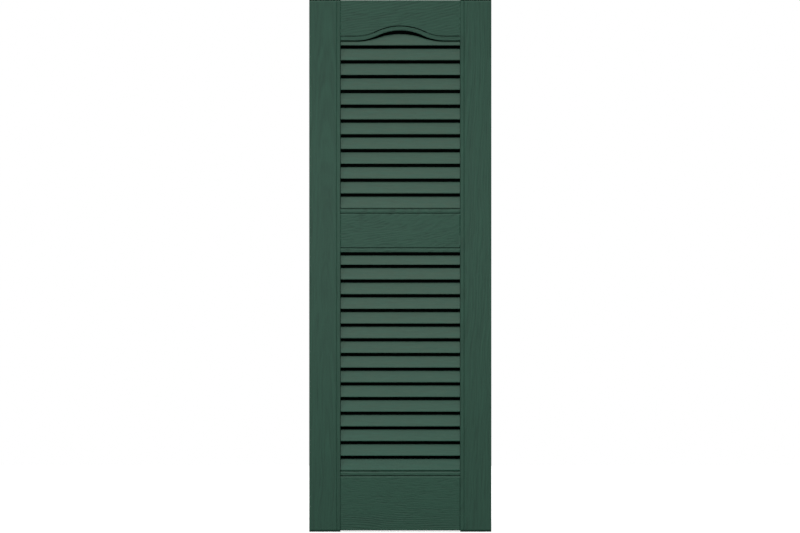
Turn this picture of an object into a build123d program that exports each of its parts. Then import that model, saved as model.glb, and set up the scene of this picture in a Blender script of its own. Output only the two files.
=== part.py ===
"""Fixed louvered window shutter, moulded in plastic with a hollow back.

Two stiles hold an arched top rail, a middle rail, a bottom rail and two fields of louvers.
X runs across the shutter, Y from its front to the wall and Z up. The wall plane is Y = 0,
and the origin lies on the landing rib at the middle of the middle rail's back.
"""

from build123d import *
from math import ceil
import os

# Stiles
stile_width = 64.0
stile_depth = 28.0
stile_wall = 2.6
stile_outer_radius = 2.4
stile_inner_radius = 1.4
stile_end_radius = 0.5
stile_end_groove_inset = 1.5
stile_end_groove_width = 1.5
stile_end_groove_depth = 1.9
stile_groove_inset = 7.8
stile_groove_radius = 0.8

# Fields between the stiles
opening_width = 246.6
upper_louver_count = 12
lower_louver_count = 15
upper_louver_pitch = 30.44
lower_louver_pitch = 30.22
upper_first_drop = 9.9
lower_first_drop = 25.8

# Rails
top_rail_height = 83.4
middle_rail_height = 88.6
bottom_rail_height = 121.3
rail_setback = 1.2
rail_wall = 2.6
rail_edge_radius = 1.5
bead_width = 8.8
bead_groove_width = 1.9
bead_groove_depth = 1.9
bead_lip_radius = 0.5
top_rail_gap = 0.8
bottom_rail_gap = 2.6

# Ogee arch in the top rail, and the flatter one that ends the first louver's face
arch_half_width = 92.0
arch_rise = 21.0
arch_return_depth = 9.0
arch_crown_cover = 4.0
crescent_crown_gap = 7.3
crescent_end_gap = 1.8

# Louvers
louver_setback = 2.0
louver_wall = 2.4
louver_band = 6.35
louver_nose_height = 2.0
louver_nose_radius = 0.8
louver_face_setback = 8.0
louver_upstand_setback = 18.0
louver_overlap = 6.0
louver_seat_gap = 2.0
louver_end_gap = 0.7
louver_edge_radius = 0.6

# Stiffening at the back
cross_rib_wall = 2.0
cross_rib_setback = 1.0
cross_rib_spacing = 92.0
landing_rib_width = 14.0
field_lip_width = 8.0
field_lip_wall = 2.2
back_rib_width = 12.0
back_rib_depth = 3.6

# Heights, from the middle rail's middle
opening_half = opening_width / 2
middle_rail_top = middle_rail_height / 2
middle_rail_bottom = -middle_rail_height / 2
upper_last_nose = middle_rail_top + louver_seat_gap
upper_first_nose = upper_last_nose + (upper_louver_count - 1) * upper_louver_pitch
top_rail_bottom = upper_first_nose + upper_first_drop
top_rail_top = top_rail_bottom + top_rail_height
shutter_top = top_rail_top + top_rail_gap
lower_first_nose = middle_rail_bottom - lower_first_drop
lower_last_nose = lower_first_nose - (lower_louver_count - 1) * lower_louver_pitch
bottom_rail_top = lower_last_nose - louver_seat_gap
bottom_rail_bottom = bottom_rail_top - bottom_rail_height
shutter_bottom = bottom_rail_bottom - bottom_rail_gap
shutter_height = shutter_top - shutter_bottom
tray_bottom = top_rail_bottom + arch_rise + rail_wall + arch_crown_cover

# Depths, from the wall plane
stile_front = -stile_depth
rail_front = stile_front + rail_setback
rail_depth = -rail_front
louver_front = rail_front + louver_setback
upstand_front = louver_front + louver_upstand_setback
upstand_back = upstand_front + louver_wall
louver_slope = louver_face_setback / (upper_louver_pitch - louver_band - louver_nose_height)


def rib_places(low, high, spacing):
    """Return evenly spaced places between two walls, no further apart than the spacing."""
    bays = max(1, ceil((high - low) / spacing))
    return [low + (high - low) * bay / bays for bay in range(1, bays)]


def ogee_line(spring, rise, lift):
    """Draw the ogee from its left spring to its right one, moved out square by lift."""
    radius = (arch_half_width**2 + rise**2) / (4 * rise)
    lean_x = arch_half_width / 2 / radius
    lean_z = (radius - rise / 2) / radius
    bend_x = arch_half_width / 2 + lift * lean_x
    bend_z = spring + rise / 2 + lift * lean_z
    crown = (0, spring + rise + lift)
    for side in (-1, 1):
        foot = (side * arch_half_width, spring + lift)
        bend = (side * bend_x, bend_z)
        TangentArc(foot, bend, tangent=(-side, 0))
        TangentArc(crown, bend, tangent=(side, 0))


def field_above_ogee(spring, rise, lift, top):
    """Return the area from the ogee up to a level line, as wide as the opening."""
    with BuildSketch() as field:
        with BuildLine():
            ogee_line(spring, rise, lift)
            Polyline(
                (-arch_half_width, spring + lift),
                (-opening_half, spring + lift),
                (-opening_half, top),
                (opening_half, top),
                (opening_half, spring + lift),
                (arch_half_width, spring + lift),
            )
        make_face()
    return field.sketch


def field_below_ogee(spring, rise, bottom):
    """Return the area from a level line up to the ogee, as wide as the opening."""
    with BuildSketch() as field:
        with BuildLine():
            ogee_line(spring, rise, 0)
            Polyline(
                (-arch_half_width, spring),
                (-opening_half, spring),
                (-opening_half, bottom),
                (opening_half, bottom),
                (opening_half, spring),
                (arch_half_width, spring),
            )
        make_face()
    return field.sketch


def band_along_ogee(spring, rise, low, high):
    """Return the band between two lifts of the ogee, as wide as the opening."""
    with BuildSketch() as band:
        with BuildLine():
            ogee_line(spring, rise, low)
            ogee_line(spring, rise, high)
            for side in (-1, 1):
                Polyline(
                    (side * arch_half_width, spring + low),
                    (side * opening_half, spring + low),
                    (side * opening_half, spring + high),
                    (side * arch_half_width, spring + high),
                )
        make_face()
    return band.sketch


def section_plane(x, y, z):
    """Return the plane of a cross section: its X is depth and its Y is height."""
    return Plane(origin=(x, y, z), x_dir=(0, 1, 0), z_dir=(1, 0, 0))


def front_plane(y):
    """Return an upright plane at a depth that faces the wall: its X and Y are X and Z."""
    return Plane(origin=(0, y, 0), x_dir=(1, 0, 0), z_dir=(0, -1, 0))


def make_rail(low, high, bead_edges):
    """Return a hollow rail between the stiles, with a bead along each of the named edges."""
    inner_width = opening_width - 2 * rail_wall
    inner_depth = rail_depth - rail_wall
    rib_depth = inner_depth - cross_rib_setback
    middle = (low + high) / 2
    with BuildPart() as rail:
        with BuildSketch(section_plane(-opening_half, 0, 0)):
            with Locations((rail_front / 2, middle)):
                Rectangle(rail_depth, high - low)
            fillet(vertices().group_by(Axis.X)[0], rail_edge_radius)
            for edge in bead_edges:
                groove_height = edge + bead_width if edge == low else edge - bead_width
                with Locations((rail_front, groove_height)):
                    SlotOverall(2 * bead_groove_depth, bead_groove_width, mode=Mode.SUBTRACT)
                lips = vertices().sort_by_distance((rail_front, groove_height))[:2]
                fillet(lips, bead_lip_radius)
        extrude(amount=opening_width)
        with Locations((0, -inner_depth / 2, middle)):
            Box(inner_width, inner_depth, high - low - 2 * rail_wall, mode=Mode.SUBTRACT)
        rib_y = rail_front + rail_wall + rib_depth / 2
        for rib_x in rib_places(-opening_half, opening_half, cross_rib_spacing):
            with Locations((rib_x, rib_y, middle)):
                Box(cross_rib_wall, rib_depth, high - low - 2 * rail_wall)
        for rib_z in rib_places(low, high, cross_rib_spacing):
            with Locations((0, rib_y, rib_z)):
                Box(inner_width, rib_depth, cross_rib_wall)
    return rail


def end_gaps(low, high):
    """Return the two gaps between a louver's face and the stiles, between two heights."""
    gap_y = louver_front + louver_upstand_setback / 2
    with BuildPart() as gaps:
        with Locations((0, gap_y, (low + high) / 2)):
            Box(opening_width, louver_upstand_setback, high - low)
            Box(
                opening_width - 2 * louver_end_gap,
                louver_upstand_setback,
                high - low,
                mode=Mode.SUBTRACT,
            )
    return gaps


def make_louver(nose, drop, lap, seated):
    """Return a louver: a leaning face, a shelf at its top and an upstand behind the edge above.

    nose is the height of its lower edge, drop the distance from there up to the edge above,
    and lap how far the upstand reaches behind that edge. A seated louver has a foot behind
    its nose, which stands on the rail below.
    """
    face_height = drop - louver_band
    face_setback = louver_slope * (face_height - louver_nose_height)
    shelf_setback = louver_slope * (face_height - louver_wall - louver_nose_height) + louver_wall
    heel = [(louver_wall, louver_nose_height), (louver_wall, 0)]
    if seated:
        heel = [
            (2 * louver_wall, louver_nose_height + louver_wall / louver_slope),
            (2 * louver_wall, -louver_seat_gap),
            (louver_wall, -louver_seat_gap),
            (louver_wall, 0),
        ]
    with BuildPart() as louver:
        with BuildSketch(section_plane(-opening_half, louver_front, nose)):
            with BuildLine():
                Polyline(
                    (0, 0),
                    (0, louver_nose_height),
                    (face_setback, face_height),
                    (louver_upstand_setback, face_height),
                    (louver_upstand_setback, drop + lap),
                    (louver_upstand_setback + louver_wall, drop + lap),
                    (louver_upstand_setback + louver_wall, face_height - louver_wall),
                    (shelf_setback, face_height - louver_wall),
                    *heel,
                    close=True,
                )
            make_face()
            fillet(vertices().group_by(Axis.X)[0], louver_nose_radius)
            face_top = vertices().sort_by_distance((face_setback, face_height))[0]
            fillet(face_top, louver_edge_radius)
        extrude(amount=opening_width)
        add(end_gaps(nose - louver_seat_gap, nose + drop).part, mode=Mode.SUBTRACT)
    return louver


def hood_under_ogee(spring, rise, nose, face_shift):
    """Return the block under the ogee and behind the leaning face, moved back by a shift."""
    depth = louver_upstand_setback + louver_wall
    height = spring + rise - nose
    lean = louver_slope * (height - louver_nose_height)
    with BuildPart() as hood:
        with BuildSketch(front_plane(upstand_back)):
            add(field_below_ogee(spring, rise, nose))
        extrude(amount=depth)
        with BuildSketch(section_plane(-opening_half, louver_front, nose)):
            with BuildLine():
                Polyline(
                    (face_shift, 0),
                    (face_shift, louver_nose_height),
                    (face_shift + lean, height),
                    (depth, height),
                    (depth, 0),
                    close=True,
                )
            make_face()
            if face_shift == 0:
                fillet(vertices().group_by(Axis.X)[0], louver_nose_radius)
        extrude(amount=opening_width, mode=Mode.INTERSECT)
    return hood


os.makedirs("parts", exist_ok=True)
pieces = []

# Left stile
stile_middle_x = -opening_half - stile_width / 2
stile_middle_z = (shutter_top + shutter_bottom) / 2
stile_hollow_depth = stile_depth - stile_wall
stile_rib_depth = stile_hollow_depth - cross_rib_setback
lip_y = upstand_back + field_lip_wall / 2
with BuildPart() as left_stile:
    with BuildSketch(Plane.XY.offset(shutter_bottom)):
        with Locations((stile_middle_x, stile_front / 2)):
            Rectangle(stile_width, stile_depth)
        fillet(vertices().group_by(Axis.Y)[0].sort_by(Axis.X)[0], stile_outer_radius)
        fillet(vertices().group_by(Axis.Y)[0].sort_by(Axis.X)[-1], stile_inner_radius)
        with Locations((-opening_half - stile_groove_inset, stile_front)):
            Circle(stile_groove_radius, mode=Mode.SUBTRACT)
    extrude(amount=shutter_height)
    with BuildSketch(section_plane(-opening_half - stile_width, 0, 0)):
        with Locations((stile_front / 2, stile_middle_z)):
            Rectangle(stile_depth, shutter_height)
        fillet(vertices().group_by(Axis.X)[0], stile_end_radius)
        for end in (shutter_bottom + stile_end_groove_inset, shutter_top - stile_end_groove_inset):
            with Locations((stile_front, end)):
                SlotOverall(
                    2 * stile_end_groove_depth,
                    stile_end_groove_width,
                    mode=Mode.SUBTRACT,
                )
    extrude(amount=stile_width, mode=Mode.INTERSECT)
    with Locations((stile_middle_x, -stile_hollow_depth / 2, stile_middle_z)):
        Box(
            stile_width - 2 * stile_wall,
            stile_hollow_depth,
            shutter_height - 2 * stile_wall,
            mode=Mode.SUBTRACT,
        )
    stile_rib_y = stile_front + stile_wall + stile_rib_depth / 2
    for rib_z in rib_places(shutter_bottom, shutter_top, cross_rib_spacing):
        with Locations((stile_middle_x, stile_rib_y, rib_z)):
            Box(stile_width - 2 * stile_wall, stile_rib_depth, cross_rib_wall)
    for lip_low, lip_high in (
        (bottom_rail_top, middle_rail_bottom),
        (middle_rail_top, top_rail_bottom),
    ):
        with Locations((-opening_half + field_lip_width / 2, lip_y, (lip_low + lip_high) / 2)):
            Box(field_lip_width, field_lip_wall, lip_high - lip_low)
left_stile.part.label = "left_stile"
pieces.append(left_stile.part)

# Right stile
with BuildPart() as right_stile:
    mirror(left_stile.part, about=Plane.YZ)
right_stile.part.label = "right_stile"
pieces.append(right_stile.part)

# Top rail: a hollow tray, with an apron below it that ends in the arch
tray_hollow_depth = rail_depth - rail_wall
tray_height = top_rail_top - tray_bottom
tray_middle = (top_rail_top + tray_bottom) / 2
tray_rib_depth = tray_hollow_depth - cross_rib_setback
apron_back = rail_front + arch_return_depth
groove_low = bead_width - bead_groove_width / 2
groove_high = bead_width + bead_groove_width / 2
with BuildPart() as top_rail:
    with BuildSketch(section_plane(-opening_half, 0, 0)):
        with Locations((rail_front / 2, tray_middle)):
            Rectangle(rail_depth, tray_height)
        fillet(vertices().group_by(Axis.X)[0].sort_by(Axis.Y)[-1], rail_edge_radius)
    extrude(amount=opening_width)
    with BuildSketch(front_plane(apron_back)):
        add(field_above_ogee(top_rail_bottom, arch_rise, 0, tray_bottom + rail_wall))
    extrude(amount=arch_return_depth)
    front_edges = faces().sort_by(Axis.Y)[0].edges()
    fillet(front_edges.filter_by(lambda edge: edge.center().Z < tray_bottom), rail_edge_radius)
    with BuildSketch(front_plane(apron_back)):
        add(field_above_ogee(top_rail_bottom, arch_rise, rail_wall, tray_bottom))
    extrude(amount=arch_return_depth - rail_wall, mode=Mode.SUBTRACT)
    with Locations((0, -tray_hollow_depth / 2, tray_middle)):
        Box(
            opening_width - 2 * rail_wall,
            tray_hollow_depth,
            tray_height - 2 * rail_wall,
            mode=Mode.SUBTRACT,
        )
    tray_rib_y = rail_front + rail_wall + tray_rib_depth / 2
    for rib_x in rib_places(-opening_half, opening_half, cross_rib_spacing):
        with Locations((rib_x, tray_rib_y, tray_middle)):
            Box(cross_rib_wall, tray_rib_depth, tray_height - 2 * rail_wall)
    with BuildSketch(front_plane(rail_front + bead_groove_depth)):
        add(band_along_ogee(top_rail_bottom, arch_rise, groove_low, groove_high))
    extrude(amount=bead_groove_depth, mode=Mode.SUBTRACT)
    groove_middle = rail_front + bead_groove_depth / 2
    groove_walls = faces().filter_by(lambda face: abs(face.center().Y - groove_middle) < 0.01)
    fillet(groove_walls.edges().group_by(Axis.Y)[0], bead_lip_radius)
top_rail.part.label = "top_rail"
pieces.append(top_rail.part)

# Middle rail: its landing rib reaches the wall and carries the origin
middle_rail = make_rail(middle_rail_bottom, middle_rail_top, (middle_rail_bottom, middle_rail_top))
with middle_rail:
    with Locations((0, -(rail_depth - rail_wall) / 2, 0)):
        Box(landing_rib_width, rail_depth - rail_wall, middle_rail_height - 2 * rail_wall)
middle_rail.part.label = "middle_rail"
pieces.append(middle_rail.part)

# Bottom rail
bottom_rail = make_rail(bottom_rail_bottom, bottom_rail_top, (bottom_rail_top,))
bottom_rail.part.label = "bottom_rail"
pieces.append(bottom_rail.part)

# First louver, whose face ends in a flatter ogee just below the arch
crescent_spring = top_rail_bottom - crescent_end_gap
crescent_rise = arch_rise + crescent_end_gap - crescent_crown_gap
with BuildPart() as first_louver:
    add(hood_under_ogee(crescent_spring, crescent_rise, upper_first_nose, 0).part)
    hollow_spring = crescent_spring - louver_wall
    hollow = hood_under_ogee(hollow_spring, crescent_rise, upper_first_nose, louver_wall)
    add(hollow.part, mode=Mode.SUBTRACT)
    add(end_gaps(upper_first_nose, top_rail_bottom).part, mode=Mode.SUBTRACT)
    with BuildSketch(front_plane(upstand_back)):
        add(field_above_ogee(hollow_spring, crescent_rise, 0, tray_bottom))
    extrude(amount=louver_wall)
first_louver.part.label = "upper_louver_01"
pieces.append(first_louver.part)

# The other louvers of the upper field: the second one's upstand ends under the first's shelf
second_lap = upper_first_drop - crescent_end_gap - louver_wall
for number in range(2, upper_louver_count + 1):
    nose_height = upper_first_nose - (number - 1) * upper_louver_pitch
    lap = second_lap if number == 2 else louver_overlap
    louver = make_louver(nose_height, upper_louver_pitch, lap, number == upper_louver_count)
    louver.part.label = f"upper_louver_{number:02d}"
    pieces.append(louver.part)

# Lower field: its first upstand ends against the middle rail
for number in range(1, lower_louver_count + 1):
    nose_height = lower_first_nose - (number - 1) * lower_louver_pitch
    drop, lap = (lower_first_drop, 0) if number == 1 else (lower_louver_pitch, louver_overlap)
    louver = make_louver(nose_height, drop, lap, number == lower_louver_count)
    louver.part.label = f"lower_louver_{number:02d}"
    pieces.append(louver.part)

# A flat rib behind each field, which the upstands lie against
for label, rib_low, rib_high in (
    ("upper_back_rib", middle_rail_top, tray_bottom),
    ("lower_back_rib", bottom_rail_top, middle_rail_bottom),
):
    with BuildPart() as back_rib:
        with Locations((0, upstand_back + back_rib_depth / 2, (rib_low + rib_high) / 2)):
            Box(back_rib_width, back_rib_depth, rib_high - rib_low)
    back_rib.part.label = label
    pieces.append(back_rib.part)

for piece in pieces:
    export_step(piece, f"parts/{piece.label}.step")
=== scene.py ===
"""Fixed louvered window shutter in dark green moulded plastic, dressed for a studio picture."""

import logging
import math
from dataclasses import dataclass, field
from enum import Enum

import bmesh
import bpy
import numpy as np
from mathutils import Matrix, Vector


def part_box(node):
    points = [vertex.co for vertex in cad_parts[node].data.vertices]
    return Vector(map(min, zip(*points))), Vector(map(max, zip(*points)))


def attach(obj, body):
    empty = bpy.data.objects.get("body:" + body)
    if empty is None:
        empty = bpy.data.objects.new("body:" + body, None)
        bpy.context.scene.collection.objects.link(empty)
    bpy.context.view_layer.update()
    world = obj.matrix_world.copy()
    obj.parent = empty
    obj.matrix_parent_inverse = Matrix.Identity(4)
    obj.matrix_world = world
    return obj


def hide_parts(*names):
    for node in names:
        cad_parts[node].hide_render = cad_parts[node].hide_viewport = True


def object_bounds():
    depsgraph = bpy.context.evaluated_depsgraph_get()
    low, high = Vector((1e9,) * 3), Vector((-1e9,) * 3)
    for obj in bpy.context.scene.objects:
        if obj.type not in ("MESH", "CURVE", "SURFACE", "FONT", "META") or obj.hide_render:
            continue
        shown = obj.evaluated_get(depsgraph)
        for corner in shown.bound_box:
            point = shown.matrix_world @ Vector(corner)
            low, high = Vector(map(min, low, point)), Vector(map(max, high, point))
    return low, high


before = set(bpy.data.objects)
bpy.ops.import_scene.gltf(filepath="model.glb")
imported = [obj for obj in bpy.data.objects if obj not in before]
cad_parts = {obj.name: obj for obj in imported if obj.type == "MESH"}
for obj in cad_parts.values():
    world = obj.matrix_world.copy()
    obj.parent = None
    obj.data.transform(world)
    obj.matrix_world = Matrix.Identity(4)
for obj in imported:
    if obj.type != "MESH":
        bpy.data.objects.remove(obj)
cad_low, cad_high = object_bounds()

MM = 0.001
BODY = "root"
Colour = tuple[float, float, float]
Axes = tuple[float, float, float]
Span = tuple[float, float]

# Mesh work: lengths in metres, angles in degrees, turns as parts of a face's normal.
WELD = 0.001 * MM
CUT_SLACK = 0.01 * MM
LEVEL_PLACES = 6
DISSOLVE_ANGLE = 0.5
SHARP_ANGLE = 28.0
FRONT_TURN = -0.25
FULL_FRONT_TURN = -0.999
SAME_TURN = 0.99
LONG_EDGE = 100 * MM
UPPER_EDGE_TURN = 0.02
LIP_SLOPE = 0.37
LIP_ROUND = 1.6
FLOOR_TURN = -0.6
FLOOR_SUNK = 1.4 * MM

# Sockets of a Mix node that mixes colours.
MIX_FIRST, MIX_SECOND, MIX_RESULT = 6, 7, 2

# Whole numbers that stir the lattice's corners.
COLUMN_STIR, ROW_STIR, SEED_STIR, LAST_STIR = 374761393, 668265263, 1442695041, 1274126177
WORD, HALF_WORD = 0xFFFFFFFF, 0xFFFF
FIRST_SHIFT, LAST_SHIFT = 13, 16

log = logging.getLogger("shutter")


class GrainRun(Enum):
    """Which way the moulded wood grain runs on a piece."""

    UPRIGHT = "upright"
    LEVEL = "level"


class Side(Enum):
    """The kinds of surface on a moulded piece, in the order of its material slots; the last is
    near-black painted shade.
    """

    FRONT = 0
    BACK = 1
    # Near-black painted shade, for recesses and grooves where only shade falls.
    SLOT = 2


@dataclass(frozen=True)
class LatticeNoise:
    """Smooth two-way noise on an endless lattice, the same on every run.

    Args:
        seed: Number that sets this noise apart from the others.
    """

    seed: int

    def corner(self, column: np.ndarray, row: np.ndarray) -> np.ndarray:
        """Give each lattice corner its own value from 0 to 1.

        Args:
            column: Whole numbers along the lattice.
            row: Whole numbers across the lattice.

        Returns:
            One value for each corner.
        """
        mixed = column * COLUMN_STIR + row * ROW_STIR + self.seed * SEED_STIR
        mixed = np.bitwise_and(mixed, WORD)
        mixed = np.bitwise_and((mixed ^ (mixed >> FIRST_SHIFT)) * LAST_STIR, WORD)
        return np.bitwise_and(mixed ^ (mixed >> LAST_SHIFT), HALF_WORD) / HALF_WORD

    def sample(self, along: np.ndarray, across: np.ndarray) -> np.ndarray:
        """Read the noise at places given in lattice steps.

        Args:
            along: Places along the lattice.
            across: Places across the lattice.

        Returns:
            Values from 0 to 1.
        """
        column, row = np.floor(along).astype(np.int64), np.floor(across).astype(np.int64)
        step_u, step_v = along - column, across - row
        ease_u = step_u * step_u * (3 - 2 * step_u)
        ease_v = step_v * step_v * (3 - 2 * step_v)
        low = self.corner(column, row) * (1 - ease_u) + self.corner(column + 1, row) * ease_u
        upper = row + 1
        high = self.corner(column, upper) * (1 - ease_u) + self.corner(column + 1, upper) * ease_u
        return low * (1 - ease_v) + high * ease_v


@dataclass(frozen=True)
class GrainRelief:
    """Wood grain embossed in a front surface. Lengths are in millimetres.

    Args:
        depth: How deep the rings are pressed in.
        ring_pitch: Distance between rings, square to the grain.
        stretch: How much longer a ring is along the grain than across it.
        heart_along: Place of the rings' middle along the grain.
        heart_across: Place of the rings' middle across the grain.
        lean: Rise of the grain for each millimetre along it.
        wander: How far the rings stray sideways.
        dash_depth: Depth of the short broken lines that follow the rings.
        dash_length: Length of a broken line.
        streak_depth: Depth of the long fine streaks that follow the rings.
        clear_across: Place across the grain where the rings are clearest.
        clear_reach: How far from there they stay clear.
        seed: Number that sets this board apart.
        slow_patch: Length and width of the patches of the slow stray.
        quick_patch: Length and width of the patches of the quick stray.
        stray_shares: Shares of the slow and the quick stray.
        strength_patch: Length and width of the patches where the rings are strong or weak.
        ring_floor: Least strength of the rings.
        streak_width: Width of a fine streak.
        streak_dashes: Length of a fine streak, in broken lines.
        dash_width: Width of a broken line.
        dash_gain: How fast a broken line gets deeper.
        dash_cut: How much of the broken lines is cut away.
        broken_patch: Length and width of the patches where broken lines are strong or weak.
        broken_floor: Least strength of the broken lines.
    """

    depth: float = 0.20
    ring_pitch: float = 4.6
    stretch: float = 9.0
    heart_along: float = -60.0
    heart_across: float = -20.0
    lean: float = 0.0
    wander: float = 5.0
    dash_depth: float = 0.16
    dash_length: float = 13.0
    streak_depth: float = 0.08
    clear_across: float = 0.0
    clear_reach: float = 900.0
    seed: int = 1
    slow_patch: Span = (85.0, 26.0)
    quick_patch: Span = (34.0, 7.0)
    stray_shares: Span = (2.0, 0.5)
    strength_patch: Span = (60.0, 16.0)
    ring_floor: float = 0.25
    streak_width: float = 1.7
    streak_dashes: float = 4.0
    dash_width: float = 1.15
    dash_gain: float = 2.0
    dash_cut: float = 0.8
    broken_patch: Span = (28.0, 9.0)
    broken_floor: float = 0.3

    def noise(
        self, order: int, along: np.ndarray, across: np.ndarray, patch: Span
    ) -> np.ndarray:
        """Read one of the board's noises, with patches of that length and width."""
        return LatticeNoise(self.seed + order).sample(along / patch[0], across / patch[1])

    def sink(self, along: np.ndarray, across: np.ndarray) -> np.ndarray:
        """Work out how far the surface is pressed in at each place.

        Args:
            along: Places along the grain, in millimetres.
            across: Places across the grain, in millimetres.

        Returns:
            Depths in millimetres, none below 0.
        """
        slow = self.noise(0, along, across, self.slow_patch) - 0.5
        quick = self.noise(1, along, across, self.quick_patch) - 0.5
        stray = self.stray_shares[0] * slow + self.stray_shares[1] * quick
        sideways = across - self.heart_across - self.lean * (along - self.heart_along)
        sideways = sideways + self.wander * stray
        radius = np.hypot((along - self.heart_along) / self.stretch, sideways)
        rings = (0.5 + 0.5 * np.cos(2 * math.pi * radius / self.ring_pitch)) ** 2
        clear = np.exp(-(((across - self.clear_across) / self.clear_reach) ** 2))
        strength = self.noise(2, along, across, self.strength_patch)
        streak = (self.streak_dashes * self.dash_length, self.streak_width)
        streaks = self.noise(3, along, radius, streak)
        dashes = self.noise(4, along, radius, (self.dash_length, self.dash_width))
        dashes = np.clip(self.dash_gain * dashes - self.dash_cut, 0, 1)
        broken = self.noise(5, along, across, self.broken_patch)
        ring_strength = self.ring_floor + (1 - self.ring_floor) * strength
        dash_strength = self.broken_floor + (1 - self.broken_floor) * broken
        pressed = self.depth * rings * clear * ring_strength
        pressed = pressed + self.dash_depth * dashes * dash_strength
        return pressed + self.streak_depth * streaks


@dataclass
class MouldedPiece:
    """A piece of the shutter: the shape of its node with grain pressed into its front.

    Args:
        node: Name of the node that it stands for.
        run: Which way its grain runs.
        relief: The grain, or None for a plain piece.
        slot: Name of a material slot in the record; not used.
        step_along: Mesh step along the grain, in millimetres.
        step_across: Mesh step across the grain, in millimetres.
        shift: Added to the place along the grain, so that like pieces differ.
        lip_reach: How far down the slope below a long upper edge goes, in millimetres.
        painted_shade_reach: How far to each side of the middle a groove's floor gets near-black
            painted shade, in millimetres.
    """

    node: str
    run: GrainRun
    relief: GrainRelief | None
    slot: str
    step_along: float = 5.0
    step_across: float = 1.0
    shift: float = 0.0
    lip_reach: float = 0.0
    painted_shade_reach: float = 0.0

    def build(self, finishes: dict[Side, bpy.types.Material]) -> bpy.types.Object:
        """Make the piece's mesh, dress it and put it in its node's place.

        Args:
            finishes: The material of each kind of surface.

        Returns:
            The finished object.
        """
        mesh = bpy.data.meshes.new(self.node + "_moulding")
        shape = bmesh.new()
        shape.from_mesh(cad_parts[self.node].data)
        bmesh.ops.remove_doubles(shape, verts=shape.verts[:], dist=WELD)
        flat = math.radians(DISSOLVE_ANGLE)
        bmesh.ops.dissolve_limit(
            shape, angle_limit=flat, verts=shape.verts[:], edges=shape.edges[:]
        )
        if self.relief is not None:
            lips = self.find_lips(shape) if self.lip_reach else []
            self.cut_front(shape)
            self.slope_lips(shape, lips)
            self.press_grain(shape)
        self.sort_sides(shape)
        shape.to_mesh(mesh)
        shape.free()
        mesh.shade_smooth()
        mesh.set_sharp_from_angle(angle=math.radians(SHARP_ANGLE))
        for side in Side:
            mesh.materials.append(finishes[side])
        piece = bpy.data.objects.new(self.node + "_moulding", mesh)
        bpy.context.scene.collection.objects.link(piece)
        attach(piece, BODY)
        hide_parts(self.node)
        log.info("%s: %d faces", piece.name, len(mesh.polygons))
        return piece

    def find_lips(self, shape: bmesh.types.BMesh) -> list[float]:
        """Find the flat front's long upper edges, and cut it where their slopes start.

        Args:
            shape: The mesh in work.

        Returns:
            The levels where the slopes start, in metres.
        """
        starts = set()
        for face in (face for face in shape.faces if face.normal.y < FULL_FRONT_TURN):
            for edge in (edge for edge in face.edges if edge.calc_length() > LONG_EDGE):
                level, tilt = edge.verts[0].co.z, edge.verts[1].co.z - edge.verts[0].co.z
                above = [near for near in edge.link_faces if near is not face]
                if abs(tilt) < CUT_SLACK and above and above[0].normal.z > UPPER_EDGE_TURN:
                    starts.add(round(level - self.lip_reach * MM, LEVEL_PLACES))
        for start in starts:
            ahead = [face for face in shape.faces if self.is_front(face)]
            self.cut_at(shape, ahead, 2, start)
        return sorted(starts)

    def slope_lips(self, shape: bmesh.types.BMesh, starts: list[float]) -> None:
        """Slope the front back above each start, so that a lip catches the light from above.

        Args:
            shape: The mesh in work.
            starts: The levels where the slopes start, in metres.
        """
        front = min(vert.co.y for vert in shape.verts)
        for vert in shape.verts:
            for start in starts:
                rise = vert.co.z - start
                if 0 < rise < (self.lip_reach + LIP_ROUND) * MM:
                    vert.co.y = max(vert.co.y, front + LIP_SLOPE * rise)
        shape.normal_update()

    @staticmethod
    def is_front(face: bmesh.types.BMFace) -> bool:
        """Say whether a face looks to the front."""
        return face.normal.y < FRONT_TURN

    def cut_front(self, shape: bmesh.types.BMesh) -> None:
        """Cut the front faces into a fine net along and across the grain.

        Args:
            shape: The mesh in work.
        """
        steps = (self.step_across, self.step_along)
        if self.run is GrainRun.LEVEL:
            steps = (self.step_along, self.step_across)
        for axis, step in ((0, steps[0]), (2, steps[1])):
            ahead = [face for face in shape.faces if self.is_front(face)]
            reach = [vert.co[axis] for face in ahead for vert in face.verts]
            count = max(2, round((max(reach) - min(reach)) / (step * MM)))
            for level in np.linspace(min(reach), max(reach), count + 1)[1:-1]:
                ahead = self.cut_at(shape, ahead, axis, float(level))

    @staticmethod
    def cut_at(
        shape: bmesh.types.BMesh, faces: list[bmesh.types.BMFace], axis: int, level: float
    ) -> list[bmesh.types.BMFace]:
        """Cut the faces that cross one level.

        Args:
            shape: The mesh in work.
            faces: The faces that are not below the last level.
            axis: 0 for a level along X, 2 for one along Z.
            level: Where to cut, in metres.

        Returns:
            The faces above the level.
        """
        above, crossed = [], []
        for face in faces:
            places = [vert.co[axis] for vert in face.verts]
            if min(places) > level - CUT_SLACK:
                above.append(face)
            elif max(places) > level + CUT_SLACK:
                crossed.append(face)
        parts = set(crossed)
        for face in crossed:
            parts.update(face.edges)
            parts.update(face.verts)
        square = Vector((1, 0, 0)) if axis == 0 else Vector((0, 0, 1))
        made = bmesh.ops.bisect_plane(
            shape, geom=list(parts), dist=CUT_SLACK, plane_co=square * level, plane_no=square
        )
        for part in made["geom"]:
            if isinstance(part, bmesh.types.BMFace) and part.calc_center_median()[axis] > level:
                above.append(part)
        return above

    @staticmethod
    def lies_flat(vert: bmesh.types.BMVert) -> bool:
        """Say whether the surface is flat around a point, away from lips and edges."""
        first = vert.link_faces[0].normal
        return all(face.normal.dot(first) > SAME_TURN for face in vert.link_faces)

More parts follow.
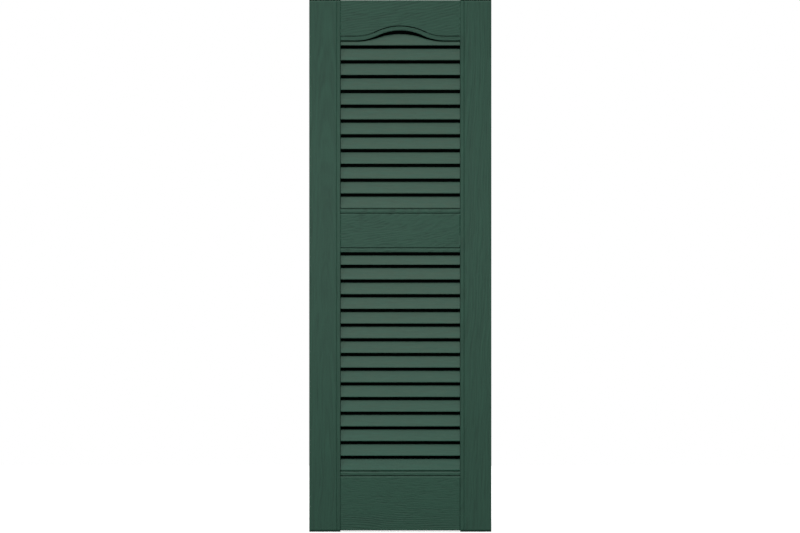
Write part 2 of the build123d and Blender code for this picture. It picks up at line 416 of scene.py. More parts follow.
    def press_grain(self, shape: bmesh.types.BMesh) -> None:
        """Sink the front's points by the depth of the grain.

        Args:
            shape: The mesh in work.
        """
        layer = shape.verts.layers.float.new("grain")
        ahead = {vert for face in shape.faces if self.is_front(face) for vert in face.verts}
        points = [vert for vert in ahead if self.lies_flat(vert)]
        places = np.array([vert.co for vert in points]) / MM
        across, along = places[:, 0], places[:, 2]
        if self.run is GrainRun.LEVEL:
            across, along = along, across
        depths = self.relief.sink(along + self.shift, across)
        for vert, depth in zip(points, depths):
            vert.co.y += float(depth) * MM
            vert[layer] = float(depth)

    def sort_sides(self, shape: bmesh.types.BMesh) -> None:
        """Give each face the material slot of its kind of surface.

        Args:
            shape: The mesh in work.
        """
        low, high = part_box(self.node)
        for face in shape.faces:
            face.material_index = self.side_of(face, low, high).value

    def side_of(self, face: bmesh.types.BMFace, low: Vector, high: Vector) -> Side:
        """Say what kind of surface a face is.

        Args:
            face: The face.
            low: Lowest corner of the piece's box.
            high: Highest corner of the piece's box.

        Returns:
            The kind of surface.
        """
        centre = face.calc_center_median()
        inside = low.x + MM < centre.x < high.x - MM
        # Painted shade: a groove's floor near the middle gets the near-black finish.
        is_floor = face.normal.y < FLOOR_TURN and centre.y - low.y > FLOOR_SUNK
        if is_floor and abs(centre.x) < self.painted_shade_reach * MM:
            return Side.SLOT
        if self.is_front(face) or not inside:
            return Side.FRONT
        return Side.BACK


@dataclass
class Louver(MouldedPiece):
    """A louver, whose shelf and upstand lie in the slot behind the louver above and get near-black
    painted shade.

    Args:
        upstand_start: Where the upstand starts, as a share of the louver's depth.
        upstand_turn: Most that its front's normal has along Y.
        shelf_start: Where the shelf starts, as a share of the louver's depth.
        shelf_turn: Least that its top's normal has along Z.
        back_turn: Least that the back's normal has along Y.
        under_turn: Most that the underside's normal has along Z.
    """

    upstand_start: float = 0.6
    upstand_turn: float = -0.9
    shelf_start: float = 0.3
    shelf_turn: float = 0.5
    back_turn: float = 0.2
    under_turn: float = -0.9

    def side_of(self, face: bmesh.types.BMFace, low: Vector, high: Vector) -> Side:
        """Say what kind of surface a face of the louver is.

        Args:
            face: The face.
            low: Lowest corner of the louver's box.
            high: Highest corner of the louver's box.

        Returns:
            The kind of surface.
        """
        centre = face.calc_center_median()
        deep = (centre.y - low.y) / (high.y - low.y)
        # Painted shade: the upstand's front and the shelf's top get the near-black finish.
        if face.normal.y < self.upstand_turn and deep > self.upstand_start:
            return Side.SLOT
        if face.normal.z > self.shelf_turn and deep > self.shelf_start:
            return Side.SLOT
        if face.normal.y > self.back_turn or face.normal.z < self.under_turn:
            return Side.BACK
        return Side.FRONT


class NodeGraph:
    """Short calls for laying out one node tree."""

    def __init__(self, tree: bpy.types.NodeTree) -> None:
        """Take the node tree to work in, of a material, world or group."""
        self.tree = tree

    def add(self, kind: str, **values: object) -> bpy.types.Node:
        """Add a node and set its properties.

        Args:
            kind: The node's type name.
            **values: Properties of the node.

        Returns:
            The new node.
        """
        node = self.tree.nodes.new(kind)
        for name, value in values.items():
            setattr(node, name, value)
        return node

    def link(self, start: bpy.types.NodeSocket, end: bpy.types.NodeSocket) -> None:
        """Join an output to an input."""
        self.tree.links.new(start, end)

    def maths(self, operation: str, first: object, second: object = None) -> bpy.types.NodeSocket:
        """Add a Math node.

        Args:
            operation: Name of the operation.
            first: A number or an output.
            second: A number or an output, or None.

        Returns:
            The node's output.
        """
        node = self.add("ShaderNodeMath", operation=operation)
        for place, value in enumerate((first, second)):
            if isinstance(value, bpy.types.NodeSocket):
                self.link(value, node.inputs[place])
            elif value is not None:
                node.inputs[place].default_value = value
        return node.outputs[0]

    def between(
        self, value: bpy.types.NodeSocket, source: Span, target: Span
    ) -> bpy.types.NodeSocket:
        """Map a value from one range to another, held at the ends.

        Args:
            value: The output to map.
            source: Low and high of what comes in.
            target: Low and high of what goes out.

        Returns:
            The mapped output.
        """
        node = self.add("ShaderNodeMapRange")
        self.link(value, node.inputs["Value"])
        node.inputs["From Min"].default_value, node.inputs["From Max"].default_value = source
        node.inputs["To Min"].default_value, node.inputs["To Max"].default_value = target
        return node.outputs["Result"]

    def noise(self, place: bpy.types.NodeSocket, scale: float, detail: float) -> bpy.types.Node:
        """Add a noise texture.

        Args:
            place: The place that it reads.
            scale: Its scale.
            detail: Its detail.

        Returns:
            The texture's node.
        """
        node = self.add("ShaderNodeTexNoise")
        node.inputs["Scale"].default_value = scale
        node.inputs["Detail"].default_value = detail
        self.link(place, node.inputs["Vector"])
        return node

    def scaled_place(
        self, place: bpy.types.Node, steps: bpy.types.NodeSocket
    ) -> bpy.types.NodeSocket:
        """Multiply the object's own place by the steps for each metre.

        Args:
            place: Node of the texture's places.
            steps: Steps per metre along X, Y and Z.

        Returns:
            The place in steps.
        """
        scaled = self.add("ShaderNodeVectorMath", operation="MULTIPLY")
        self.link(place.outputs["Object"], scaled.inputs[0])
        self.link(steps, scaled.inputs[1])
        return scaled.outputs[0]

    def seen(self) -> bpy.types.NodeSocket:
        """Tell the rays that are seen from those that only light.

        Returns:
            1 for camera, glossy and transmission rays, and otherwise 0.
        """
        path = self.add("ShaderNodeLightPath")
        seen = self.maths("MAXIMUM", path.outputs["Is Camera Ray"], path.outputs["Is Glossy Ray"])
        return self.maths("MAXIMUM", seen, path.outputs["Is Transmission Ray"])


def new_group(name: str, inputs: dict[str, str], outputs: dict[str, str]) -> bpy.types.NodeTree:
    """Start a shader node group with named sockets.

    Args:
        name: The group's name.
        inputs: Socket type for each input name.
        outputs: Socket type for each output name.

    Returns:
        The group's empty tree, with its sockets.
    """
    tree = bpy.data.node_groups.new(name, "ShaderNodeTree")
    for in_out, sockets in (("INPUT", inputs), ("OUTPUT", outputs)):
        for socket_name, kind in sockets.items():
            tree.interface.new_socket(socket_name, in_out=in_out, socket_type=kind)
    return tree


@dataclass
class SurfaceEffects:
    """The node groups that the finishes share, each built once.

    Args:
        streak_detail: Detail of the grain's streaks.
        streak_bend: Distortion of the grain's streaks.
        pore_scale: Scale of the pores.
        pore_detail: Detail of the pores.
        pore_range: Noise where a pore starts and is at its deepest.
        tone_range: Heights of the grain that give the lowest and the highest tone.
        hue_shift: How far the noise of the hue is moved from that of the tone.
        drift_detail: Detail of the slow drift.
        drift_range: Noise that gives the lowest and the highest drift.
        mottle_scale: Scale of the fine mottle.
        mottle_detail: Detail of the fine mottle.
        crease_samples: Samples for the painted shade in creases.
    """

    streak_detail: float = 3.0
    streak_bend: float = 0.6
    pore_scale: float = 2.6
    pore_detail: float = 2.0
    pore_range: Span = (0.52, 0.66)
    tone_range: Span = (0.2, 0.75)
    hue_shift: Axes = (37.0, 11.0, 53.0)
    drift_detail: float = 2.0
    drift_range: Span = (0.3, 0.7)
    mottle_scale: float = 900.0
    mottle_detail: float = 2.0
    crease_samples: int = 8

    def __post_init__(self) -> None:
        """Build each group once."""
        self.grain = self.make_grain()
        self.drift = self.make_drift()
        self.painted_crease_shade = self.make_crease()

    def make_grain(self) -> bpy.types.NodeTree:
        """Build the fine moulded grain: streaks and pores drawn out along one axis.

        Returns:
            The group's tree.
        """
        tree = new_group(
            "Moulded grain",
            {"Steps": "NodeSocketVector", "Pore depth": "NodeSocketFloat"},
            {"Height": "NodeSocketFloat", "Tone": "NodeSocketFloat"},
        )
        graph = NodeGraph(tree)
        given, given_out = graph.add("NodeGroupInput"), graph.add("NodeGroupOutput")
        scaled = graph.scaled_place(graph.add("ShaderNodeTexCoord"), given.outputs["Steps"])
        streaks = graph.noise(scaled, 1.0, self.streak_detail)
        streaks.inputs["Distortion"].default_value = self.streak_bend
        pores = graph.noise(scaled, self.pore_scale, self.pore_detail)
        pits = graph.between(pores.outputs["Fac"], self.pore_range, (0.0, 1.0))
        sunk = graph.maths("MULTIPLY", pits, given.outputs["Pore depth"])
        height = graph.maths("SUBTRACT", streaks.outputs["Fac"], sunk)
        tone = graph.between(height, self.tone_range, (0.0, 1.0))
        graph.link(height, given_out.inputs["Height"])
        graph.link(tone, given_out.inputs["Tone"])
        return tree

    def make_drift(self) -> bpy.types.NodeTree:
        """Build the slow change of tone over a moulding, with a finer mottle in it.

        Returns:
            The group's tree.
        """
        tree = new_group(
            "Moulding drift",
            {"Steps": "NodeSocketVector"},
            {"Tone": "NodeSocketFloat", "Hue": "NodeSocketFloat", "Mottle": "NodeSocketFloat"},
        )
        graph = NodeGraph(tree)
        given, given_out = graph.add("NodeGroupInput"), graph.add("NodeGroupOutput")
        place = graph.add("ShaderNodeTexCoord")
        scaled = graph.scaled_place(place, given.outputs["Steps"])
        shifted = graph.add("ShaderNodeVectorMath", operation="ADD")
        shifted.inputs[1].default_value = self.hue_shift
        graph.link(scaled, shifted.inputs[0])
        for output, start in (("Tone", scaled), ("Hue", shifted.outputs[0])):
            slow = graph.noise(start, 1.0, self.drift_detail)
            spread = graph.between(slow.outputs["Fac"], self.drift_range, (0.0, 1.0))
            graph.link(spread, given_out.inputs[output])
        quick = graph.noise(place.outputs["Object"], self.mottle_scale, self.mottle_detail)
        graph.link(quick.outputs["Fac"], given_out.inputs["Mottle"])
        return tree

    def make_crease(self) -> bpy.types.NodeTree:
        """Build the painted shade in grooves and corners, darker where ambient occlusion finds
        walls near.

        Returns:
            The group's tree.
        """
        tree = new_group(
            "Crease shade",
            {"Reach": "NodeSocketFloat", "Strength": "NodeSocketFloat"},
            {"Shade": "NodeSocketFloat"},
        )
        graph = NodeGraph(tree)
        given, given_out = graph.add("NodeGroupInput"), graph.add("NodeGroupOutput")
        openness = graph.add("ShaderNodeAmbientOcclusion", samples=self.crease_samples)
        graph.link(given.outputs["Reach"], openness.inputs["Distance"])
        closed = graph.maths("SUBTRACT", 1.0, openness.outputs["AO"])
        taken = graph.maths("MULTIPLY", closed, given.outputs["Strength"])
        graph.link(graph.maths("SUBTRACT", 1.0, taken), given_out.inputs["Shade"])
        return tree


@dataclass(frozen=True)
class PlasticFinish:
    """A moulded plastic surface.

    Args:
        name: The material's name.
        colour: Base colour, linear.
        roughness: Low and high roughness.
        gloss: Specular level.
        grain_steps: Grain steps per metre along X, Y and Z.
        pore_depth: How deep the pores are in the grain.
        grain_tone: How much the grain changes the colour.
        grain_bump: Depth of the grain's bump, in metres.
        painted_pit_shade: Painted shade: how much darker the grain is for each millimetre pressed
            in.
        drift_steps: Drift steps per metre along X, Y and Z.
        drift_tone: How much the slow drift changes the colour.
        drift_hue: How much of the warm colour the drift brings in.
        warm: The warm colour.
        mottle_range: Mottle that gives the low and the high roughness.
        painted_crease_shade: How much painted shade darkens closed grooves and corners.
        crease_reach: How far away a wall still adds painted shade, in metres.
        painted_falloff_heights: Where the painted shade that darkens the colour down the shutter
            starts and ends, in metres.
        painted_falloff: What this painted shade multiplies the colour by at its end.
    """

    name: str
    colour: Colour
    roughness: Span = (0.5, 0.6)
    gloss: float = 0.25
    grain_steps: Axes = (500.0, 500.0, 500.0)
    pore_depth: float = 0.25
    grain_tone: float = 0.08
    grain_bump: float = 0.00005
    painted_pit_shade: float = 0.0
    drift_steps: Axes = (9.0, 9.0, 9.0)
    drift_tone: float = 0.04
    drift_hue: float = 0.0
    warm: Colour = (0.045, 0.058, 0.036)
    mottle_range: Span = (0.3, 0.7)
    painted_crease_shade: float = 0.5
    crease_reach: float = 0.002
    painted_falloff_heights: Span = (0.0, -0.5)
    painted_falloff: Colour = (1.0, 1.0, 1.0)

    def mix(self, graph: NodeGraph, blend: str, second: Colour | None = None) -> bpy.types.Node:
        """Add a Mix node for colours.

        Args:
            graph: The material's graph.
            blend: How the two colours are mixed.
            second: The second colour, or None if it is linked.

        Returns:
            The node.
        """
        node = graph.add("ShaderNodeMix", data_type="RGBA", blend_type=blend)
        if second is not None:
            node.inputs[MIX_SECOND].default_value = (*second, 1.0)
        return node

    def shade(
        self, graph: NodeGraph, tone: bpy.types.NodeSocket, drift: bpy.types.Node,
        painted_crease_shade: bpy.types.NodeSocket,
    ) -> bpy.types.NodeSocket:
        """Lay out how light or dark the colour is at each place: the grain's and the drift's own
        tone, with painted shade where the grain is pressed in and in grooves and corners.

        Args:
            graph: The material's graph.
            tone: The grain's tone.
            drift: The drift group's node.
            painted_crease_shade: The painted shade of the group for grooves and corners.

        Returns:
            The output that multiplies the colour.
        """
        pressed = graph.add("ShaderNodeAttribute", attribute_name="grain")
        fine = graph.between(tone, (0.0, 1.0), (-self.grain_tone, self.grain_tone))
        slow = graph.between(drift.outputs["Tone"], (0.0, 1.0), (-self.drift_tone, self.drift_tone))
        # Painted shade: darker where the grain is pressed in.
        sunk = graph.maths("MULTIPLY", pressed.outputs["Fac"], -self.painted_pit_shade)
        total = graph.maths("ADD", graph.maths("ADD", fine, slow), sunk)
        # Painted shade in grooves and corners multiplies the whole tone.
        return graph.maths("MULTIPLY", graph.maths("ADD", total, 1.0), painted_crease_shade)

    def paint(
        self, graph: NodeGraph, light: bpy.types.NodeSocket, drift: bpy.types.Node
    ) -> bpy.types.NodeSocket:
        """Lay out the base colour, with painted shade that darkens it down the shutter.

        Args:
            graph: The material's graph.
            light: The output that multiplies the colour.
            drift: The drift group's node.

        Returns:
            The output with the base colour.
        """
        hue = self.mix(graph, "MIX", self.warm)
        hue.inputs[MIX_FIRST].default_value = (*self.colour, 1.0)
        warmth = graph.maths("MULTIPLY", drift.outputs["Hue"], self.drift_hue)
        graph.link(warmth, hue.inputs["Factor"])
        tint = self.mix(graph, "MULTIPLY")
        tint.inputs["Factor"].default_value = 1.0
        graph.link(hue.outputs[MIX_RESULT], tint.inputs[MIX_FIRST])
        graph.link(light, tint.inputs[MIX_SECOND])
        # Painted shade: the colour darkens towards the bottom of the shutter.
        place = graph.add("ShaderNodeSeparateXYZ")
        graph.link(graph.add("ShaderNodeTexCoord").outputs["Object"], place.inputs["Vector"])
        painted_falloff = self.mix(graph, "MULTIPLY", self.painted_falloff)
        down = graph.between(place.outputs["Z"], self.painted_falloff_heights, (0.0, 1.0))
        graph.link(down, painted_falloff.inputs["Factor"])
        graph.link(tint.outputs[MIX_RESULT], painted_falloff.inputs[MIX_FIRST])
        return painted_falloff.outputs[MIX_RESULT]

    def make(self, effects: SurfaceEffects) -> bpy.types.Material:
        """Build the material.

        Args:
            effects: The shared node groups.

        Returns:
            The material.
        """
        material = bpy.data.materials.new(self.name)
        material.use_nodes = True
        material.diffuse_color = (*self.colour, 1.0)
        graph = NodeGraph(material.node_tree)
        shader = material.node_tree.nodes["Principled BSDF"]
        grain = graph.add("ShaderNodeGroup", node_tree=effects.grain)
        grain.inputs["Steps"].default_value = self.grain_steps
        grain.inputs["Pore depth"].default_value = self.pore_depth
        drift = graph.add("ShaderNodeGroup", node_tree=effects.drift)
        drift.inputs["Steps"].default_value = self.drift_steps
        painted_crease_shade = graph.add("ShaderNodeGroup", node_tree=effects.painted_crease_shade)
        painted_crease_shade.inputs["Reach"].default_value = self.crease_reach
        painted_crease_shade.inputs["Strength"].default_value = self.painted_crease_shade
        light = self.shade(graph, grain.outputs["Tone"], drift, painted_crease_shade.outputs["Shade"])
        graph.link(self.paint(graph, light, drift), shader.inputs["Base Color"])
        rough = graph.between(drift.outputs["Mottle"], self.mottle_range, self.roughness)
        graph.link(rough, shader.inputs["Roughness"])
        bump = graph.add("ShaderNodeBump")
        bump.inputs["Distance"].default_value = self.grain_bump
        bump.inputs["Strength"].default_value = 1.0
        graph.link(grain.outputs["Height"], bump.inputs["Height"])
        graph.link(bump.outputs["Normal"], shader.inputs["Normal"])
        shader.inputs["Specular IOR Level"].default_value = self.gloss
        return material


@dataclass
class StileMoulding(MouldedPiece):
    """A side board, with near-black painted shade in the groove across its top end.

    Args:
        line_span: Nearest and farthest face of the line from the top end, in millimetres.
        line_sunk: Least and most that a face of the line lies below the front, in millimetres.
    """

    line_span: Span = (0.75, 2.3)
    line_sunk: Span = (0.1, 2.6)

    def side_of(self, face: bmesh.types.BMFace, low: Vector, high: Vector) -> Side:
        """Say what kind of surface a face is, with near-black painted shade in the line across the
        top end.

        Args:
            face: The face.
            low: Lowest corner of the stile's box.
            high: Highest corner of the stile's box.

        Returns:
            The kind of surface.
        """
        centre = face.calc_center_median()
        down, sunk = high.z - centre.z, centre.y - low.y
        # Painted shade: faces of the groove across the top end get the near-black finish.
        in_span = self.line_span[0] * MM < down < self.line_span[1] * MM
        if in_span and self.line_sunk[0] * MM < sunk < self.line_sunk[1] * MM:
            return Side.SLOT
        return super().side_of(face, low, high)


@dataclass
class Stiles:
    """The two full-height side boards.

    Args:
        step_along: Mesh step along the grain, in millimetres.
        step_across: Mesh step across the grain, in millimetres.
    """

    step_along: float = 6.0
    step_across: float = 0.8

    def build(self, finishes: dict[Side, bpy.types.Material]) -> None:
        """Build both stiles.

        Args:
            finishes: The material of each kind of surface.
        """
        for name, heart_along, heart_across, lean, seed in (
            ("left_stile", -620.0, -150.0, 0.0, 11),
            ("right_stile", 620.0, 136.0, 0.015, 23),
        ):
            relief = GrainRelief(
                depth=0.13, ring_pitch=4.6, stretch=27.0, heart_along=heart_along,
                heart_across=heart_across, lean=lean, wander=4.5, dash_depth=0.24,
                dash_length=26.0, streak_depth=0.22, seed=seed,
            )
            StileMoulding(
                name, GrainRun.UPRIGHT, relief, "frame_plastic", self.step_along, self.step_across
            ).build(finishes)


@dataclass
class Rails:
    """The top, middle and bottom rails.

    Args:
        step_along: Mesh step along the grain, in millimetres.
        step_across: Mesh step across the grain, in millimetres.
        lip_reach: How far down the slope below a long upper edge goes, in millimetres.
        crown_reach: How far to each side the arch's groove floor gets near-black painted shade, in
            millimetres.
    """

    step_along: float = 3.0
    step_across: float = 0.7
    lip_reach: float = 1.9
    crown_reach: float = 55.0

    def build(self, finishes: dict[Side, bpy.types.Material]) -> None:
        """Build the three rails.

        Args:
            finishes: The material of each kind of surface.
        """
        reliefs = {
            "top_rail": GrainRelief(
                depth=0.54, ring_pitch=4.7, stretch=3.74, heart_along=-350.0, heart_across=560.0,
                wander=4.0, dash_depth=0.48, dash_length=12.0, seed=31,
            ),
            "middle_rail": GrainRelief(
                depth=0.22, ring_pitch=4.7, stretch=4.0, heart_along=-200.0, heart_across=50.0,
                wander=5.0, dash_depth=0.54, dash_length=9.0, seed=43,
            ),
            "bottom_rail": GrainRelief(
                depth=0.42, ring_pitch=4.5, stretch=5.0, heart_along=-20.0, heart_across=-470.0,
                lean=-0.03, wander=3.0, dash_depth=0.40, dash_length=8.0, clear_across=-604.0,
                clear_reach=38.0, seed=57,
            ),
        }
        for name, relief in reliefs.items():
            painted_shade_reach = self.crown_reach if name == "top_rail" else 0.0
            MouldedPiece(
                name, GrainRun.LEVEL, relief, "frame_plastic", self.step_along, self.step_across,
                lip_reach=self.lip_reach, painted_shade_reach=painted_shade_reach,
            ).build(finishes)


@dataclass
class LouverFields:
    """The louvers of both openings.

    Args:
        upper_count: Louvers in the upper field.
        lower_count: Louvers in the lower field.
        step_along: Mesh step along the grain, in millimetres.
        step_across: Mesh step across the grain, in millimetres.
        board_shift: How far along the grain each louver is from the one before, in millimetres.
    """

    upper_count: int = 12
    lower_count: int = 15
    step_along: float = 5.0
    step_across: float = 1.2
    board_shift: float = 317.0

    def build(self, finishes: dict[Side, bpy.types.Material]) -> None:
        """Build every louver, each with its own stretch of grain.

        Args:
            finishes: The material of each kind of surface.
        """
        relief = GrainRelief(
            depth=0.06, ring_pitch=5.0, stretch=30.0, heart_along=0.0, heart_across=-900.0,
            wander=4.0, dash_depth=0.12, dash_length=18.0, streak_depth=0.08, seed=71,
        )
        names = [f"upper_louver_{number:02d}" for number in range(1, self.upper_count + 1)]
        names += [f"lower_louver_{number:02d}" for number in range(1, self.lower_count + 1)]
        for number, name in enumerate(names):
            Louver(
                name, GrainRun.LEVEL, relief, "louver_plastic", self.step_along, self.step_across,
                number * self.board_shift,
            ).build(finishes)


@dataclass
class BackRibs:
    """The flat ribs behind the louver fields."""

    def build(self, finishes: dict[Side, bpy.types.Material]) -> None:
        """Build both ribs with their finishes, plain as moulded."""
        for name in ("upper_back_rib", "lower_back_rib"):
            MouldedPiece(name, GrainRun.UPRIGHT, None, "rib_plastic").build(finishes)


@dataclass
class Studio:
    """Camera, lamps, surroundings and floor.

    Args:
        frame_width: Picture width in pixels.
        frame_height: Picture height in pixels.
        lens: Focal length in millimetres.
        sensor: Sensor width in millimetres.
        shutter_top_row: Picture row of the shutter's top.
        shutter_bottom_row: Picture row of the shutter's lower end.
        shutter_middle_column: Picture column of the shutter's middle.
        far_limit: How far the camera sees, in metres.
        key_elevation: Degrees of the key lamp above the horizon.
        key_power: Strength of the key lamp.
        side_turn: Degrees of the side lamp round from straight in front.
        side_elevation: Degrees of the side lamp above the horizon.
        side_power: Strength of the side lamp.
        sun_width: Degrees across either of these lamps.
        upper_place: The upper lamp's place, in metres from the shutter's middle.
        upper_power: The upper lamp's power in watts.
        front_place: The front lamp's place, in metres from the shutter's middle.
        front_power: The front lamp's power in watts.
        panel_size: Width of the upper and the front lamp, in metres.
        sky_rise: Heights in the dome where it starts to brighten and is brightest.
        sky_low: The dome's strength below.
        sky_high: The dome's strength above.
        floor_size: Width of the floor, in metres.
        floor_colour: The floor's colour where it is seen.
        floor_glow: The floor's own light where it is seen.
        floor_bounce: How much light the floor throws back on the shutter.
    """

    frame_width: int = 800
    frame_height: int = 533
    lens: float = 200.0
    sensor: float = 36.0
    shutter_top_row: float = -0.5
    shutter_bottom_row: float = 531.84
    shutter_middle_column: float = 400.3
    far_limit: float = 100.0
    key_elevation: float = 50.0
    key_power: float = 0.85
    side_turn: float = -50.0
    side_elevation: float = 35.0
    side_power: float = 0.6
    sun_width: float = 12.0
    upper_place: Axes = (-0.1, -1.1, 1.05)
    upper_power: float = 3.3
    front_place: Axes = (-0.13, -1.05, 0.13)
    front_power: float = 3.8
    panel_size: float = 0.5
    sky_rise: Span = (0.1, 0.8)
    sky_low: float = 0.06
    sky_high: float = 0.81
    floor_size: float = 6.0
    floor_colour: Colour = (0.8, 0.8, 0.8)
    floor_glow: float = 0.6
    floor_bounce: float = 0.12

    def build(self) -> None:
        """Set up the whole studio."""
        self.make_camera()
        self.make_sun("key_lamp", 0.0, self.key_elevation, self.key_power)
        self.make_sun("side_lamp", self.side_turn, self.side_elevation, self.side_power)
        self.make_panel("upper_lamp", self.upper_place, self.upper_power)
        self.make_panel("front_lamp", self.front_place, self.front_power)
        self.make_sky()
        self.make_floor()
        bpy.context.scene.view_settings.view_transform = "Standard"

    def make_camera(self) -> None:
        """Put the camera straight in front, far off, so that the shutter fills the picture."""
        camera_data = bpy.data.cameras.new("camera")
        camera_data.lens = self.lens
        camera_data.sensor_width = self.sensor
        camera_data.clip_end = self.far_limit
        camera = bpy.data.objects.new("camera", camera_data)
        bpy.context.scene.collection.objects.link(camera)
        height = cad_high.z - cad_low.z
        rows = self.shutter_bottom_row - self.shutter_top_row
        pixels_per_metre = rows / height
        distance = self.frame_width * self.lens / self.sensor / pixels_per_metre
        middle_row = (self.shutter_bottom_row + self.shutter_top_row) / 2
        aside = (self.frame_width / 2 - self.shutter_middle_column) / pixels_per_metre
        above = (middle_row - self.frame_height / 2) / pixels_per_metre
        middle = (cad_low + cad_high) / 2
        camera.location = (middle.x + aside, cad_low.y - distance, middle.z + above)
        camera.rotation_euler = (math.radians(90), 0, 0)
        bpy.context.scene.camera = camera

    def make_sun(self, name: str, turn: float, elevation: float, power: float) -> None:
        """Add a broad far lamp.

        Args:
            name: The lamp's name.
            turn: Degrees round from straight in front, to the right if positive.
            elevation: Degrees above the horizon.
            power: Strength in watts for each square metre.
        """
        lamp = bpy.data.lights.new(name, "SUN")
        lamp.energy = power
        lamp.angle = math.radians(self.sun_width)
        sun = bpy.data.objects.new(name, lamp)
        bpy.context.scene.collection.objects.link(sun)
        sun.rotation_euler = (math.radians(90 - elevation), 0, math.radians(turn))

    def make_panel(self, name: str, place: Axes, power: float) -> None:
        """Add a soft square lamp that looks at the shutter's middle.

        Args:
            name: The lamp's name.
            place: Where it hangs, in metres from the shutter's middle.
            power: Its power in watts.
        """
        lamp = bpy.data.lights.new(name, "AREA")
        lamp.shape = "SQUARE"
        lamp.size = self.panel_size
        lamp.energy = power
        panel = bpy.data.objects.new(name, lamp)
        bpy.context.scene.collection.objects.link(panel)
        panel.location = (cad_low + cad_high) / 2 + Vector(place)
        panel.rotation_euler = (-Vector(place)).to_track_quat("-Z", "Y").to_euler()
        panel.visible_camera = False

    def make_sky(self) -> None:
        """Light from a dome, brighter above, that the camera and the gloss see as white."""
        world = bpy.data.worlds.new("studio")
        bpy.context.scene.world = world
        world.use_nodes = True
        graph = NodeGraph(world.node_tree)
        world.node_tree.nodes.clear()
        place = graph.add("ShaderNodeTexCoord")
        split = graph.add("ShaderNodeSeparateXYZ")
        graph.link(place.outputs["Generated"], split.inputs[0])
        glow = graph.between(split.outputs["Z"], self.sky_rise, (self.sky_low, self.sky_high))
        dome = graph.add("ShaderNodeBackground")
        graph.link(glow, dome.inputs["Strength"])
        white = graph.add("ShaderNodeBackground")
        white.inputs["Strength"].default_value = 1.0
        for node in (dome, white):
            node.inputs["Color"].default_value = (1.0, 1.0, 1.0, 1.0)
        mix = graph.add("ShaderNodeMixShader")
        graph.link(graph.seen(), mix.inputs[0])
        graph.link(dome.outputs[0], mix.inputs[1])
        graph.link(white.outputs[0], mix.inputs[2])
        out = graph.add("ShaderNodeOutputWorld")
        graph.link(mix.outputs[0], out.inputs["Surface"])

    def make_floor(self) -> None:
        """Lay a pale floor under the stiles, which keeps the shutter's shadow."""
        half = self.floor_size / 2
        level = cad_low.z
        mesh = bpy.data.meshes.new("floor")
        turns = ((-1, -1), (1, -1), (1, 1), (-1, 1))
        corners = [(half * right, half * back, level) for right, back in turns]
        mesh.from_pydata(corners, [], [(0, 1, 2, 3)])
        floor = bpy.data.objects.new("floor", mesh)
        bpy.context.scene.collection.objects.link(floor)
        material = bpy.data.materials.new("pale floor")
        material.use_nodes = True
        graph = NodeGraph(material.node_tree)
        material.node_tree.nodes.clear()
        pale = graph.add("ShaderNodeBsdfDiffuse")
        pale.inputs["Color"].default_value = (*self.floor_colour, 1.0)
        glow = graph.add("ShaderNodeEmission")
        glow.inputs["Strength"].default_value = self.floor_glow
        both = graph.add("ShaderNodeAddShader")
        graph.link(pale.outputs[0], both.inputs[0])
        graph.link(glow.outputs[0], both.inputs[1])
        dim = graph.add("ShaderNodeBsdfDiffuse")
        dim.inputs["Color"].default_value = (self.floor_bounce,) * 3 + (1.0,)
        mix = graph.add("ShaderNodeMixShader")
        graph.link(graph.seen(), mix.inputs[0])
        graph.link(dim.outputs[0], mix.inputs[1])
        graph.link(both.outputs[0], mix.inputs[2])
        out = graph.add("ShaderNodeOutputMaterial")
        graph.link(mix.outputs[0], out.inputs["Surface"])
        mesh.materials.append(material)


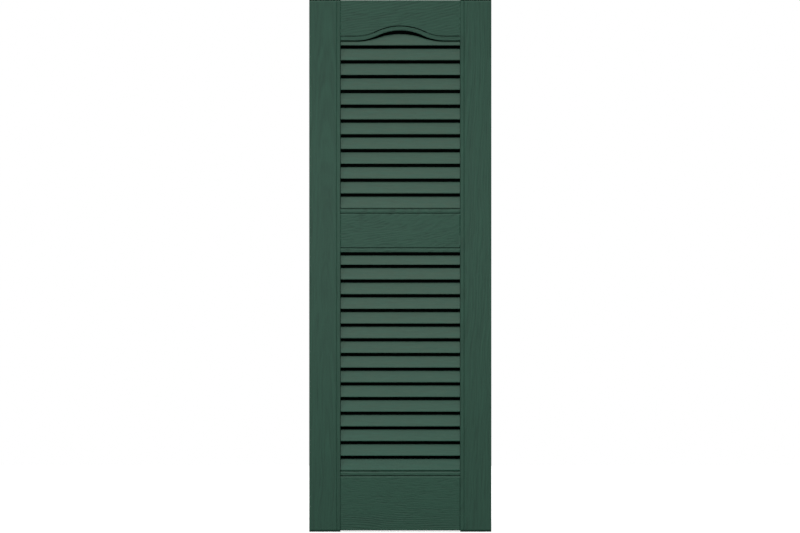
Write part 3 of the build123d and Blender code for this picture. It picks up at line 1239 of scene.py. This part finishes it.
@dataclass
class Shutter:
    """The whole shutter with its finishes.

    Args:
        green: The frame's colour, linear.
        louver_green_painted_lighter: The louvers' colour, linear: the frame's green made lighter as
            painted light.
        painted_shade_black: Near-black painted shade for the recesses behind the slots, the arch
            groove's crown and the stiles' top-end lines, linear.
        stiles: The two stiles.
        rails: The three rails.
        louvers: The louvers of both fields.
        ribs: The ribs behind the louvers.
    """

    green: Colour = (0.0204, 0.0638, 0.0425)
    louver_green_painted_lighter: Colour = (0.023, 0.0688, 0.046)
    painted_shade_black: Colour = (0.002, 0.003, 0.0025)
    stiles: Stiles = field(default_factory=Stiles)
    rails: Rails = field(default_factory=Rails)
    louvers: LouverFields = field(default_factory=LouverFields)
    ribs: BackRibs = field(default_factory=BackRibs)

    def build(self) -> None:
        """Make the finishes and build every sub-assembly with them."""
        effects = SurfaceEffects()
        upright = PlasticFinish(
            "upright grain plastic", self.green, gloss=0.18, grain_steps=(620.0, 300.0, 22.0),
            painted_pit_shade=0.7, drift_tone=0.015, painted_crease_shade=0.2,
        ).make(effects)
        level = PlasticFinish(
            "level grain plastic", self.green, gloss=0.18, grain_steps=(26.0, 300.0, 620.0),
            painted_pit_shade=0.5, drift_tone=0.015, painted_crease_shade=0.7,
        ).make(effects)
        # Painted light and shade: the louvers take a lighter copy of the frame's green, darkened
        # towards the bottom.
        louver = PlasticFinish(
            "louver plastic", self.louver_green_painted_lighter, gloss=0.225, grain_steps=(30.0, 400.0, 700.0),
            painted_pit_shade=0.5, drift_steps=(40.0, 60.0, 200.0), drift_tone=0.045, drift_hue=0.2,
            painted_crease_shade=0.35, painted_falloff_heights=(-0.18, -0.5), painted_falloff=(0.55, 0.92, 0.88),
        ).make(effects)
        back = PlasticFinish(
            "plain moulded back", self.green, roughness=(0.4, 0.5), grain_tone=0.02,
            grain_bump=0.00001,
        ).make(effects)
        # Painted shade: a near-black, matt finish for the recesses behind the slots, the arch
        # groove's crown and the stiles' top-end lines.
        slot = PlasticFinish(
            "slot painted shade", self.painted_shade_black, roughness=(0.9, 1.0), gloss=0.02,
            grain_tone=0.02, drift_tone=0.02,
        ).make(effects)
        self.stiles.build({Side.FRONT: upright, Side.BACK: back, Side.SLOT: slot})
        self.rails.build({Side.FRONT: level, Side.BACK: back, Side.SLOT: slot})
        self.louvers.build({Side.FRONT: louver, Side.BACK: back, Side.SLOT: slot})
        self.ribs.build({Side.FRONT: back, Side.BACK: back, Side.SLOT: slot})


def main() -> None:
    """Build the shutter and its studio."""
    logging.basicConfig(level=logging.INFO, format="%(name)s: %(message)s")
    Shutter().build()
    Studio().build()


if __name__ == "__main__":
    main()
